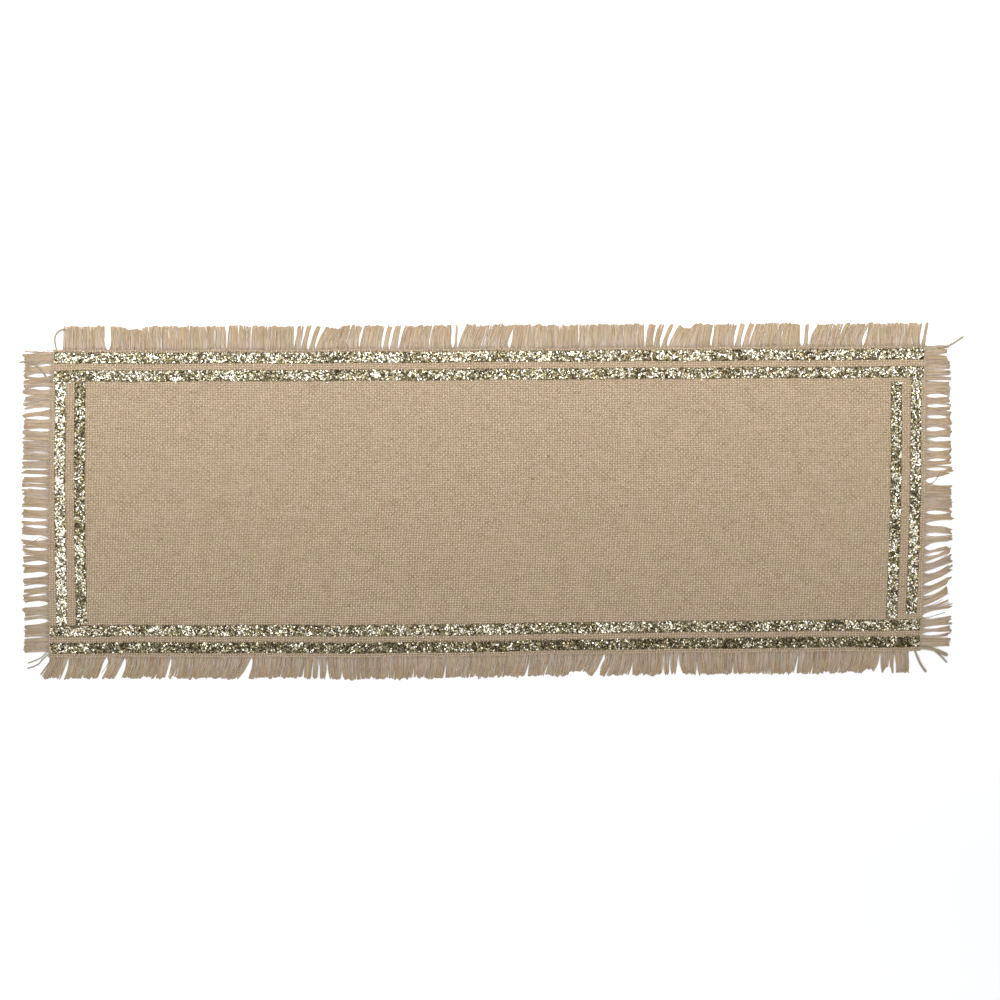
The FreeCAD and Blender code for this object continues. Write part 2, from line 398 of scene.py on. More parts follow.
def fibre_group():
    """Jute fibre: streaks along the yarn, pale and dark hairs, woody flecks and slow drifts of colour."""
    name = "Jute fibre"
    if name in bpy.data.node_groups:
        return bpy.data.node_groups[name]
    group, given, result = new_group(
        name,
        (("Grain", "NodeSocketVector"), ("Tone", "NodeSocketFloat"), ("Straw", "NodeSocketColor"),
         ("Pale", "NodeSocketColor"), ("Bark", "NodeSocketColor")),
        (("Colour", "NodeSocketColor"), ("Roughness", "NodeSocketFloat"), ("Height", "NodeSocketFloat")),
    )
    n = Nodes(group)
    grain, tone = given.outputs["Grain"], given.outputs["Tone"]
    twist = math.radians(16)
    fibres = n.noise(n.stretch(grain, (170, 4200, 4200), twist), detail=3, roughness=0.6)
    strands = n.noise(n.stretch(grain, (60, 1500, 1500), twist), detail=2)
    drift = n.noise(grain, detail=3, scale=60)
    warm = n.noise(n.stretch(grain, (1, 1, 1), 0.4), detail=4, roughness=0.65, scale=48)
    flecks = n.noise(n.stretch(grain, (240, 1500, 1500)), detail=1)
    lightness = n.math("ADD", n.math("MULTIPLY", tone, 0.55), n.between(drift, 0.0, 1.0, 0.12, 0.33))
    lightness = n.math("ADD", lightness, n.math("MULTIPLY", n.math("SUBTRACT", fibres, 0.5), 0.9))
    pale = n.between(lightness, 0.46, 0.98)
    bark = n.between(lightness, 0.56, 0.12)
    tint = n.mix(pale, given.outputs["Straw"], given.outputs["Pale"])
    tint = n.mix(bark, tint, given.outputs["Bark"])
    tint = n.mix(n.between(warm, 0.51, 0.68, 0.0, 0.42), tint, (0.51, 0.36, 0.29, 1))
    tint = n.mix(n.between(warm, 0.49, 0.32, 0.0, 0.42), tint, (0.44, 0.39, 0.22, 1))
    woody = n.between(flecks, 0.70, 0.76, 0.0, 0.75)
    tint = n.mix(woody, tint, (0.13, 0.078, 0.036, 1))
    n.put(result.inputs["Colour"], tint)
    n.put(result.inputs["Roughness"], n.between(fibres, 0.2, 0.8, 0.95, 0.68))
    n.put(result.inputs["Height"], n.math("ADD", fibres, n.math("MULTIPLY", strands, 0.8)))
    return group


def new_material(name):
    """A material with a Principled shader, its node helper and the shader."""
    material = bpy.data.materials.new(name)
    material.use_nodes = True
    n = Nodes(material.node_tree)
    shader = material.node_tree.nodes["Principled BSDF"]
    return material, n, shader


def rgba(colour_value):
    """A colour with full alpha."""
    return (*colour_value, 1)


def jute_material(name, settings, turn=0.0, recolour=None):
    """Jute yarn. turn is the yarns' direction about Z; recolour changes the fibre's colour further."""
    material, n, shader = new_material(name)
    grain = n.stretch(n.place(), (1, 1, 1), turn)
    fibre = n.add("ShaderNodeGroup", node_tree=fibre_group())
    n.put(fibre.inputs["Grain"], grain)
    n.put(fibre.inputs["Tone"], n.value("yarn_tone_and_painted_light"))
    for label, tint in (("Straw", settings.straw), ("Pale", settings.pale), ("Bark", settings.bark)):
        fibre.inputs[label].default_value = rgba(tint)
    tint = fibre.outputs["Colour"]
    if recolour is not None:
        tint = recolour(n, tint, grain)
    n.put(shader.inputs["Base Color"], tint)
    n.put(shader.inputs["Roughness"], fibre.outputs["Roughness"])
    n.put(shader.inputs["Normal"], n.bump(fibre.outputs["Height"], 0.45, 0.12 * MM))
    shader.inputs["Specular IOR Level"].default_value = 0.28
    shader.inputs["Sheen Weight"].default_value = 0.22
    shader.inputs["Sheen Roughness"].default_value = 0.45
    shader.inputs["Sheen Tint"].default_value = (1.0, 0.93, 0.82, 1)
    return material


def fringe_material(name, settings, turn):
    """Frayed ends: ashen streaks near the cloth and a warmer colour towards the tips."""
    def recolour(n, tint, grain):
        reach = n.value("reach")
        streaks = n.noise(n.stretch(grain, (28, 420, 28)), detail=2)
        ashen = n.math("MULTIPLY", n.between(streaks, 0.42, 0.62), n.between(reach, 0.1, 1.0, 0.6, 0.15))
        tint = n.mix(ashen, tint, rgba(settings.ash))
        warm = n.math("MULTIPLY", n.between(reach, 0.3, 1.0, 0.0, 0.75), n.between(streaks, 0.62, 0.38))
        return n.mix(warm, tint, rgba(settings.tip))

    return jute_material(name, settings, turn, recolour)


def weathered_material(name, settings):
    """Loose yarns, greyer than the rest."""
    def recolour(n, tint, grain):
        return n.mix(0.75, tint, rgba(settings.weathered))

    return jute_material(name, settings, 0.0, recolour)


def web_and_shade_material(settings):
    """The sheet under the yarns: painted shade in the holes between them, with a haze of fine fibres."""
    material, n, shader = new_material("Fibre web and painted shade")
    place = n.place()
    hairs = n.noise(n.stretch(place, (900, 2600, 900), 0.5), detail=3, roughness=0.65)
    drift = n.noise(place, detail=2, scale=40)
    amount = n.math("ADD", n.math("MULTIPLY", hairs, 0.7), n.math("MULTIPLY", drift, 0.4))
    # Painted shade: the sheet is dark where the holes are, with paler fibre hairs across it.
    tint = n.mix(n.between(amount, 0.45, 0.95), rgba(settings.shade), rgba(settings.bark))
    n.put(shader.inputs["Base Color"], tint)
    n.put(shader.inputs["Roughness"], n.between(hairs, 0.2, 0.8, 0.98, 0.82))
    n.put(shader.inputs["Normal"], n.bump(hairs, 0.6, 0.1 * MM))
    shader.inputs["Specular IOR Level"].default_value = 0.15
    return material


def glue_material(settings):
    """Glue film with glitter dust in it."""
    material, n, shader = new_material("Glue film")
    place = n.place()
    cells = n.add("ShaderNodeTexVoronoi")
    n.put(cells.inputs["Vector"], place)
    cells.inputs["Scale"].default_value = 1900
    dust = n.add("ShaderNodeSeparateColor")
    n.put(dust.inputs[0], cells.outputs["Color"])
    bright = n.between(dust.outputs[0], 0.72, 0.80)
    drift = n.noise(place, detail=2, scale=160)
    dark = n.mix(drift, rgba(settings.glue), rgba(settings.umber_and_shade))
    tint = n.mix(bright, dark, rgba(settings.gold))
    n.put(shader.inputs["Base Color"], tint)
    n.put(shader.inputs["Metallic"], n.math("MULTIPLY", bright, 0.8))
    n.put(shader.inputs["Roughness"], n.between(drift, 0.3, 0.7, 0.28, 0.5))
    shader.inputs["Specular IOR Level"].default_value = 0.5
    return material


def foil_material(name, tint, roughness):
    """One of five colours of metallised film that paint one gold foil as glinting, lit and in painted shade,
    with fine scuffs that vary its gloss.
    """
    material, n, shader = new_material(name)
    place = n.place()
    scuffs = n.noise(place, detail=3, roughness=0.7, scale=1400)
    shader.inputs["Base Color"].default_value = rgba(tint)
    shader.inputs["Metallic"].default_value = 1.0
    n.put(shader.inputs["Roughness"], n.between(scuffs, 0.3, 0.75, roughness, roughness + 0.2))
    return material


def floor_material(tint):
    """A plain pale table top."""
    material, n, shader = new_material("Table top")
    place = n.place()
    drift = n.noise(place, detail=2, scale=3)
    lighter = tuple(min(1.0, c * 1.01) for c in tint)
    n.put(shader.inputs["Base Color"], n.mix(drift, rgba(tint), rgba(lighter)))
    shader.inputs["Roughness"].default_value = 0.7
    shader.inputs["Specular IOR Level"].default_value = 0.2
    return material


# ---- The woven cloth ----

# Every fourth pair of yarns belongs to one piece, so that each piece spans the whole cloth.
GROUPS = 4
WEAVE_MIDDLE = 0.60 * MM
# How wide a yarn is where it dives between two others, as a share of its full width.
NECK = 0.76
# Yarns vary slowly, with one random value at every step along them.
KNOT_STEP = 7 * MM
SLUB_CHANCE = 0.004
SPECK_CHANCE = 0.0012
# How far the crosswise yarns slant over the front half and the back half, and how far in from the ends
# the slant fades out.
SLANTS = (0.047, -0.016)
SLANT_FADE = 100 * MM
# The sheet under the yarns: painted shade in the holes, with a haze of fine fibres.
WEB_AND_SHADE_CELLS = (173, 61)
WEB_AND_SHADE_MARGIN = 0.5 * MM
WEB_AND_SHADE_TOP = 0.42 * MM
WEB_AND_SHADE_THICKNESS = 0.12 * MM
DRAWN = (
    # how far the weave is drawn aside, in waves of that many to a metre along and across
    (0.20 * MM, 14, 9),
    (0.14 * MM, -11, 27),
    (0.10 * MM, 33, -20),
    (0.08 * MM, 41, 37),
    (0.06 * MM, -60, 55),
)


def pitches(weave):
    """Crosswise and lengthwise yarn spacing."""
    return CLOTH_LENGTH / weave.crosswise_yarns, CLOTH_WIDTH / weave.lengthwise_yarns


def spacing_errors(count, pitch, unevenness, name):
    """Where the yarns of one direction really lie, as even places and the errors there."""
    errors = random_for(name).normal(0, unevenness * pitch, count)
    places = (np.arange(count) + 0.5) * pitch - count * pitch / 2
    return places, errors


def unevenly(weave, u, v):
    """Shifts points of the cloth as its yarns are shifted, so that both directions still cross."""
    pitch_u, pitch_v = pitches(weave)
    places_u, errors_u = spacing_errors(weave.crosswise_yarns, pitch_u, weave.unevenness, "crosswise")
    places_v, errors_v = spacing_errors(weave.lengthwise_yarns, pitch_v, weave.unevenness, "lengthwise")
    inside = smooth_step((CLOTH_LENGTH / 2 - np.abs(u)) / SLANT_FADE)
    slant = SLANTS[0] * np.minimum(v, 0) + SLANTS[1] * np.maximum(v, 0)
    shift_u = np.interp(u, places_u, errors_u) + slant * inside
    shift_v = np.interp(v, places_v, errors_v)
    for size, along, across in DRAWN:
        angle = 2 * math.pi * (along * u + across * v)
        shift_u = shift_u + size * np.sin(angle + along)
        shift_v = shift_v + size * np.sin(angle + across + 1)
    return u + shift_u, v + shift_v


def yarn_pair(pitch, spacing, width, thickness):
    """One repeat of plain weave: two neighbouring yarns, over one crossing yarn and under the next."""
    yarns = []
    for row, way in enumerate((1, -1)):
        bpy.ops.object.select_all(action="DESELECT")
        bpy.ops.mesh.primitive_circle_add(
            vertices=4, radius=0.5, rotation=(0, math.pi / 2, 0), location=(0, row * spacing, 0)
        )
        yarn = bpy.context.object
        yarn.scale = (thickness, width, 1)
        bpy.ops.object.transform_apply(location=True, rotation=True, scale=True)
        bpy.ops.object.mode_set(mode="EDIT")
        bpy.ops.mesh.select_all(action="SELECT")
        for rise in (way, -way, -way, way):
            step = (pitch / 2, 0, rise * thickness / 2)
            bpy.ops.mesh.extrude_region_move(TRANSFORM_OT_translate={"value": step})
        bpy.ops.object.mode_set(mode="OBJECT")
        yarns.append(yarn)
    only(yarns[0])
    yarns[1].select_set(True)
    bpy.ops.object.join()
    return yarns[0]


def repeat(ob, count, offset, merge):
    """Repeats an object in a row, merging the ends that meet."""
    only(ob)
    array = ob.modifiers.new("Repeat", "ARRAY")
    array.use_relative_offset = False
    array.use_constant_offset = True
    array.constant_offset_displace = offset
    array.count = count
    array.use_merge_vertices = merge
    array.merge_threshold = 0.01 * MM
    bpy.ops.object.modifier_apply(modifier=array.name)


def close_ends(ob):
    """Caps the open ends of every yarn."""
    only(ob)
    bpy.ops.object.mode_set(mode="EDIT")
    bpy.ops.mesh.select_all(action="SELECT")
    bpy.ops.mesh.fill_holes(sides=4)
    bpy.ops.mesh.normals_make_consistent(inside=False)
    bpy.ops.object.mode_set(mode="OBJECT")


def yarn_group(name, weave, crosswise, index):
    """One of the four groups of yarns of one direction, woven, uneven and laid on the table."""
    pitch_u, pitch_v = pitches(weave)
    if crosswise:
        pitch, spacing, fill = pitch_v, pitch_u, weave.crosswise_fill
        crossings, yarns = weave.lengthwise_yarns, weave.crosswise_yarns
    else:
        pitch, spacing, fill = pitch_u, pitch_v, weave.lengthwise_fill
        crossings, yarns = weave.crosswise_yarns, weave.lengthwise_yarns
    pairs = len(range(index, yarns // 2, GROUPS))
    width, thickness = fill * spacing, weave.yarn_thickness
    ob = yarn_pair(pitch, spacing, width, thickness)
    ob.name = ob.data.name = name
    repeat(ob, crossings // 2, (2 * pitch, 0, 0), merge=True)
    repeat(ob, pairs, (0, 2 * GROUPS * spacing, 0), merge=False)
    close_ends(ob)

    along, across, height = get_points(ob).T
    row = np.rint(across / spacing).astype(int)
    beat = np.sin(math.pi * along / pitch)
    middle = np.where(row % 2 == 0, 1, -1) * beat * thickness / 2
    side, up = across - row * spacing, height - middle
    rng = random_for(name)
    rows, knots = 2 * GROUPS * pairs, int(pitch * crossings / KNOT_STEP) + 3

    def slow(amount):
        return amount * wander(rng.normal(size=(rows, knots)), row, along, KNOT_STEP)

    def quick(amount):
        return amount * wander(rng.normal(size=(rows, crossings + 2)), row, along + pitch / 2, pitch)

    slubs = wander(0.45 * (rng.random((rows, knots)) < SLUB_CHANCE), row, along, KNOT_STEP)
    swell = np.clip(1 + slubs + slow(0.03) + quick(0.07), 0.7, 1.4)
    side *= swell * (NECK + (1 - NECK) * np.abs(beat))
    up *= 0.5 + 0.5 * swell
    stray = slow(0.02 * spacing) + quick(0.04 * spacing)
    specks = wander(0.5 * (rng.random((rows, knots)) < SPECK_CHANCE), row, along, KNOT_STEP)
    # Painted light: a painted highlight on crosswise yarns where they lie on top and painted shade on
    # lengthwise yarns where they do.
    crown = (weave.crown if crosswise else -weave.crown) * np.clip(middle / thickness * 2, 0, 1)
    tone = 0.5 + crown - specks + 0.015 * rng.normal(size=rows)[row] + slow(0.04) + quick(0.10)

    place = (2 * index + row + 0.5) * spacing - yarns * spacing / 2
    if crosswise:
        u, v = unevenly(weave, -place, along - CLOTH_WIDTH / 2)
        u = u - side - stray
    else:
        u, v = unevenly(weave, along - CLOTH_LENGTH / 2, place)
        v = v + side + stray
    set_points(ob, lay(u, v, WEAVE_MIDDLE + middle + up))
    set_value(ob, "yarn_tone_and_painted_light", tone)
    return ob


class RUNNER_OT_web_and_shade(bpy.types.Operator):
    """Build the dark sheet under the yarns: painted shade in the holes between them, with a haze of fine
    fibres
    """

    bl_idname = "runner.ground"
    bl_label = "Fibre Web and Painted Shade"

    def execute(self, context):
        weave = context.scene.runner_weave
        ob = new_grid("cloth_web_and_shade", *WEB_AND_SHADE_CELLS)
        x, y, _ = get_points(ob).T
        u, v = x * (CLOTH_LENGTH - 2 * WEB_AND_SHADE_MARGIN), y * (CLOTH_WIDTH - 2 * WEB_AND_SHADE_MARGIN)
        set_points(ob, lay(u, v, np.full_like(u, WEB_AND_SHADE_TOP)))
        thicken(ob, WEB_AND_SHADE_THICKNESS)
        finish_piece(ob, "jute_cloth", web_and_shade_material(weave))
        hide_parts("base_cloth")
        return {"FINISHED"}


class RUNNER_OT_yarns(bpy.types.Operator):
    """Weave the yarns of one direction"""

    bl_idname = "runner.yarns"
    bl_label = "Yarns"

    crosswise: bpy.props.BoolProperty(name="Crosswise", description="Run across the runner", default=False)

    def execute(self, context):
        weave = context.scene.runner_weave
        word = "crosswise" if self.crosswise else "lengthwise"
        turn = math.pi / 2 if self.crosswise else 0.0
        material = jute_material(f"Jute, {word} yarns", weave, turn)
        for index in range(GROUPS):
            ob = yarn_group(f"{word}_yarns_{index + 1}", weave, self.crosswise, index)
            finish_piece(ob, "jute_cloth", material)
        return {"FINISHED"}


# ---- The glitter bands ----

# Painted light: how brightly each band is painted by where it lies under the light, as the middle of its
# flakes' spread of shades from 0, dark, to 1, the brightest foil.
BAND_PAINTED_LIGHT = {
    "back_outer": 0.47, "back_inner": 0.45, "front_outer": 0.25, "front_inner": 0.43,
    "left_outer": 0.62, "left_inner": 0.43, "right_outer": 0.54, "right_inner": 0.48,
}
# How far past the film's edge small flakes are strewn.
HALO = 1.6 * MM
FILM_CELL = 1.9 * MM
FILM_ROWS = 7
FILM_THICKNESS = 0.16 * MM
# Size of the small patches of painted glint and shade, in which flakes are painted as if they faced alike.
CLUSTER = 2.4 * MM
CLUSTER_ROWS = 6
# Limits between the five foil colours, from painted shade to painted glint, on the scale of
# BAND_PAINTED_LIGHT.
SHADE_LIMITS = (0.24, 0.44, 0.62, 0.76)


def band_frame(band):
    """A band's corners turned so that its length runs first, with its length and width."""
    corners = outline(f"band_{band}")
    if band.split("_")[0] in SHORT_SIDES:
        corners = corners[[1, 2, 3, 0]]
    long = np.linalg.norm(corners[1] - corners[0])
    wide = np.linalg.norm(corners[3] - corners[0])
    return corners, long, wide


class RUNNER_OT_glitter_band(bpy.types.Operator):
    """Lay one glitter band: the glue film and the flakes in it"""

    bl_idname = "runner.glitter_band"
    bl_label = "Glitter Band"

    band: bpy.props.EnumProperty(
        name="Band", description="Which band to lay", items=[(b, b.replace("_", " "), "") for b in BANDS]
    )

    def execute(self, context):
        settings = context.scene.runner_glitter
        self.film(settings)
        self.flakes(settings)
        return {"FINISHED"}

    def film(self, settings):
        """The glue film, with an edge as ragged as the weave makes it."""
        corners, long, wide = band_frame(self.band)
        name = f"glue_{self.band}"
        rng = random_for(name)
        cells_long = max(4, round(long / FILM_CELL))
        ob = new_grid(name, cells_long, FILM_ROWS)
        x, y, _ = get_points(ob).T
        rim = np.clip((np.abs(y) - 0.25) * 4, 0, 1)
        edges = rng.normal(0, 0.35 * MM, (2, cells_long + 3))
        ragged = wander(edges, (y > 0) * 1, (x + 0.5) * long, FILM_CELL)
        y = y + np.sign(y) * ragged * rim / wide
        xy = on_quad(corners, x + 0.5, y + 0.5)
        soak = 0.07 * MM * np.sin(xy[:, 0] * 2434) * np.sin(xy[:, 1] * 2779)
        height = CLOTH_TOP + 0.02 * MM - 0.16 * MM * rim + soak
        set_points(ob, settle(xy, height))
        thicken(ob, FILM_THICKNESS)
        finish_piece(ob, "gold_glitter", glue_material(settings))
        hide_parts(f"band_{self.band}")

    def flakes(self, settings):
        """Hexagonal foil flakes, lying at all angles, some strewn just past the film's edge."""
        corners, long, wide = band_frame(self.band)
        name = f"flakes_{self.band}"
        rng = random_for(name)
        half = settings.flake_width / 2
        flake_area = 2 * math.sqrt(3) * half * half
        count = round(settings.coverage * long * wide / flake_area)
        strewn = round(0.16 * count)
        along = rng.random(count + strewn)
        across = np.concatenate([
            (half * 0.9 + rng.random(count) * (wide - half * 1.8)) / wide,
            np.where(rng.random(strewn) < 0.5, 0, 1) + rng.normal(0, HALO / wide / 2, strewn),
        ])
        along = (0.2 * half + along * (long - 0.4 * half)) / long
        xy = on_quad(corners, along, across)
        total = len(xy)
        size = half * 2 / math.sqrt(3) * rng.choice((1.0, 0.82, 0.6), total, p=(0.62, 0.25, 0.13))
        size[count:] *= 0.45
        angle = np.arange(6) * math.pi / 3
        turn = rng.random(total)[:, None] * 2 * math.pi + angle
        flat = np.stack([np.cos(turn), np.sin(turn)], axis=-1) * size[:, None, None]
        lean = rng.normal(0, math.tan(settings.lean), (total, 2))
        rise = (flat * lean[:, None, :]).sum(-1)
        bed = CLOTH_TOP + rng.random(total) * 0.34 * MM + 0.10 * MM
        bed[count:] = CLOTH_TOP - 0.02 * MM
        middles = settle(xy, bed)
        points = middles[:, None, :] + np.concatenate([flat, rise[..., None]], axis=-1)
        fan = np.array([[0, 1, 2], [0, 2, 3], [0, 3, 5], [3, 4, 5]])
        faces = (fan[None] + 6 * np.arange(total)[:, None, None]).reshape(-1, 3)
        x, y = xy.T
        patches = np.sin(x * 83 + 1) * np.sin(y * 67 + 2) + np.sin(x * 211 + y * 190)
        cells = rng.normal(0, 0.18, (CLUSTER_ROWS, int(long / CLUSTER) + 3))
        row = np.clip(across * (CLUSTER_ROWS - 1), 0, CLUSTER_ROWS - 1).astype(int)
        clusters = wander(cells, row, along * long, CLUSTER)
        # Painted light: each flake's foil colour comes from its band's painted light, painted patches and
        # clusters of glint and shade, and chance.
        shade = BAND_PAINTED_LIGHT[self.band] + 0.06 * patches + clusters + rng.normal(0, 0.28, total)
        shade[count:] = rng.normal(0.5, 0.1, strewn)
        shades = np.digitize(shade, SHADE_LIMITS)
        ob = mesh_object(name, points.reshape(-1, 3), faces, np.repeat(shades, 4))
        # Painted glint and shade: the gold foil in five lit and shaded copies, one material each.
        foils = (
            ("Umber foil, painted shade", settings.umber_and_shade, 0.35), ("Olive foil, painted shade", settings.shaded_olive, 0.30),
            ("Gold foil", settings.gold, 0.25), ("Champagne foil, painted glint", settings.glint_champagne, 0.25),
            ("Cream foil, painted glint", settings.glint_cream, 0.28),
        )
        materials = [bpy.data.materials.get(foil[0]) or foil_material(*foil) for foil in foils]
        finish_piece(ob, "gold_glitter", *materials, smooth=False)
        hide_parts(f"band_{self.band}")


# ---- The fringe ----

# The gaps in each side's fringe: place along the side, width half way out and width at the tips, in
# millimetres, counted from the middle of the side towards the right or the back.
WIDE_GAPS = {
    "back": ((-377, 6, 5), (-259, 0.5, 3), (-193, 1.5, 2.5), (-186, 1.5, 2), (-179, 2.5, 3), (-172, 2.5, 5),
             (-129, 2.3, 3), (-106, 2.5, 2.5), (-99, 2.5, 4), (-90, 1.5, 2), (-60, 1.2, 1.8), (-36, 4, 5.5),
             (-31, 1.8, 6), (-3, 0, 2), (20, 3.5, 0.5), (88, 0.9, 0.6), (154, 1.5, 3), (162, 1.5, 2),
             (169, 2.5, 3), (176, 3, 5), (219, 2.3, 3), (242, 2.5, 2.2), (249, 2.5, 4), (257, 1.5, 2.5),
             (287, 0.8, 1.8), (309, 4, 5), (315, 1.8, 7), (344, 0, 2), (369, 3.8, 0.5), (426, 2.5, 3)),
    "front": ((-411, 2, 3), (-373, 4.5, 3), (-355, 4.5, 8), (-310, 2.5, 4), (-303, 0, 2), (-230, 3.5, 8),
              (-170, 1, 2), (-164, 1.5, 2.5), (-156, 1, 5), (-141, 0, 4), (-38, 0.5, 2.5), (45, 0.3, 4),
              (118, 3, 8), (147, 0, 2), (177, 1, 2), (183, 1.5, 2.5), (191, 1, 6), (209, 0, 4),
              (310, 1, 3.5), (391, 1, 6), (400, 0, 2.5), (405, 1.2, 2)),
    "left": ((137, 3.4, 0.5), (127, 4.4, 0.5), (114, 3.8, 0.5), (102, 0.8, 2), (94, 3.8, 5), (85, 3.8, 0.5),
             (73, 3.2, 0.5), (62, 1, 2.2), (51, 1.6, 0), (42, 0.3, 1.6), (34, 2.2, 2), (28, 2.6, 3),
             (20, 1.6, 2), (15, 2.8, 2.5), (8, 1, 0.4), (-5, 3.2, 2.5), (-16, 3.2, 4), (-23, 3.8, 1),
             (-34, 6, 6), (-45, 3.2, 0.5), (-58, 4.6, 1), (-69, 5.2, 6), (-80, 3.2, 4), (-89, 2.8, 0.5),
             (-98, 5.6, 5.5), (-109, 1, 1), (-115, 5.5, 7), (-131, 1.6, 2)),
    "right": ((138, 0.2, 1), (128, 0.5, 0.6), (117, 1.2, 0.3), (102, 4.4, 0.5), (92, 3.8, 0.5),
              (81, 4.2, 2), (69, 5.2, 0.5), (59, 4.6, 4), (48.5, 4.2, 0.3), (38, 3.2, 0.3), (29, 3.8, 0.3),
              (17, 6.5, 14), (-14, 4.8, 0.3), (-25, 4.5, 11), (-36, 4.2, 0.5), (-49, 8.5, 10),
              (-57, 4, 0.5), (-64, 4, 1), (-74, 4.8, 4), (-86, 5, 6), (-97, 3.8, 3), (-107, 2.2, 3),
              (-117, 8, 8), (-129, 3.2, 1), (-135, 4.2, 0.5)),
}
# How far tips lean towards the right or the back: place along the side and lean, in millimetres.
LEANS = {
    "back": ((-420, 1), (-377, -1), (-250, 0), (-193, 2), (-179, 7), (-165, 10), (-150, 7), (-120, 3),
             (-100, 5), (-60, 5), (-36, 0), (-28, 6), (0, 7), (35, 4), (50, 0), (154, 1), (169, 7),
             (182, 10), (200, 6), (225, 2), (250, 6), (287, 5), (308, -1), (316, 6), (369, 8), (385, 2),
             (431, 3)),
    "front": ((-431, -8), (-400, -6), (-355, -8), (-310, -4), (-230, -9), (-200, -3), (-150, 1), (-90, -1),
              (0, -4), (80, -4), (118, -9), (150, -2), (200, 1), (300, -2), (380, -6), (400, 0), (431, 0)),
    "left": ((-150, -1), (-75, -3), (-40, 1), (40, 0), (80, 1), (94, -3), (120, 0), (140, -3), (150, 1)),
    "right": ((-150, 1), (-125, 3), (-115, 4), (-105, 11), (-85, 11), (-60, 9), (-48, 2), (-30, 0), (150, 0)),
}
# Stretches where the tips are cut short: place along the side, half its width and how much, in millimetres.
SHORT_CUTS = {
    "back": ((-350, 10, 3.5), (-162, 8, 3), (185, 8, 3)),
    "front": ((100, 13, 4.5), (190, 6, 2), (385, 5, 5), (398, 4, 5)),
    "left": (),
    "right": ((143, 6, 2.5), (20, 5, 4.0), (-52, 5, 3), (-100, 9, 3)),
}
# Cloth corners without a fringe: the width at the left or front end of each side and at its other end.
BARE_ENDS = {"back": (10, 1), "front": (2, 12), "left": (6, 2), "right": (4, 0)}
# Spacing of the little notches between the wide gaps, their width at the tips, and how uneven tips are.
NOTCHES = {"back": (15, 0.5, 0.7), "front": (14, 0.8, 1.0), "left": (5, 0.9, 0.9), "right": (5, 0.9, 0.9)}
# Painted light: how light each side's fringe is painted, from 0, dark, to 1, pale, by how much light falls on
# that side; the front is darkest, painted shade.
FRINGE_PAINTED_LIGHT = {"back": 0.5, "front": 0.42, "left": 0.56, "right": 0.56}
FRINGE_DEPTH = 24 * MM
STRAND_RINGS = 6


def edge_length(side):
    """How long the cloth's edge is on that side."""
    return CLOTH_LENGTH if side in LONG_SIDES else CLOTH_WIDTH


def fringe_place(side, along, out, z):
    """The place on the table of a point of the fringe.

    along is measured from the middle of the side; out is 0 at the cloth and 1 at the tips.
    """
    part = along / edge_length(side) + 0.5
    s, t = {
        "back": (part, out), "front": (part, 1 - out), "right": (out, part), "left": (1 - out, part),
    }[side]
    return settle(on_quad(outline(f"fringe_{side}"), s, t), z)


def tuft_gaps(side, rng):
    """All gaps of a side in order: places, widths half way out and widths at the tips, in metres."""
    wide = np.array(WIDE_GAPS[side], float)
    pitch, tip, _ = NOTCHES[side]
    half = edge_length(side) / 2 / MM
    places = np.arange(-half + pitch, half - pitch / 2, pitch)
    places = places + rng.normal(0, pitch * 0.2, len(places))
    places = places[np.abs(places[:, None] - wide[:, 0]).min(axis=1) > pitch * 0.5]
    small = np.stack([places, np.zeros(len(places)), tip * rng.uniform(0.0, 2.0, len(places))], axis=1)
    ends = np.array([[-half, 0, 0], [half, 0, 0]])
    gaps = np.concatenate([wide, small, ends])
    return gaps[np.argsort(gaps[:, 0])] * MM


def strand_mesh(name, paths, widths, thickness):
    """Flattened three-sided strands along paths, tapering by widths, as one object."""
    count, rings, _ = paths.shape
    forward = np.gradient(paths, axis=1)
    side = np.stack([-forward[..., 1], forward[..., 0], np.zeros((count, rings))], axis=-1)
    side /= np.maximum(np.linalg.norm(side, axis=-1, keepdims=True), 1e-9)
    half = side * widths[..., None] / 2
    top = np.zeros_like(paths)
    top[..., 2] = thickness * (0.55 + 0.45 * widths / widths.max())
    points = np.stack([paths - half, paths + half, paths + top], axis=2).reshape(-1, 3)
    points[:, 2] = np.maximum(points[:, 2], 0.02 * MM)
    start = (np.arange(count)[:, None] * rings + np.arange(rings - 1)[None]) * 3
    faces = []
    for a, b in ((0, 1), (1, 2), (2, 0)):
        near_a, near_b, far_a, far_b = start + a, start + b, start + 3 + a, start + 3 + b
        faces += [np.stack([near_a, far_a, far_b], -1), np.stack([near_a, far_b, near_b], -1)]
    first = np.arange(count) * rings * 3
    last = first + (rings - 1) * 3
    faces += [np.stack([first, first + 1, first + 2], -1), np.stack([last + 2, last + 1, last], -1)]
    faces = np.concatenate([f.reshape(-1, 3) for f in faces])
    return mesh_object(name, points, faces)


def cut_lengths(side, root, ragged, rng):
    """How long each strand is cut, as a share of the fringe's depth."""
    count = len(root)
    uneven = rng.normal(0, NOTCHES[side][2] * MM, (1, 600))
    clump = wander(uneven, np.zeros(count, int), root + edge_length(side) / 2, 2.2 * MM)
    cut = 1 + (clump + rng.normal(0, ragged, count)) / FRINGE_DEPTH
    for place, half, amount in SHORT_CUTS[side]:
        near = np.exp(-(((root / MM - place) / half) ** 4))
        cut -= near * amount * MM / FRINGE_DEPTH
    broken = rng.random(count) < 0.04
    cut[broken] -= rng.random(broken.sum()) * 0.25
    return cut


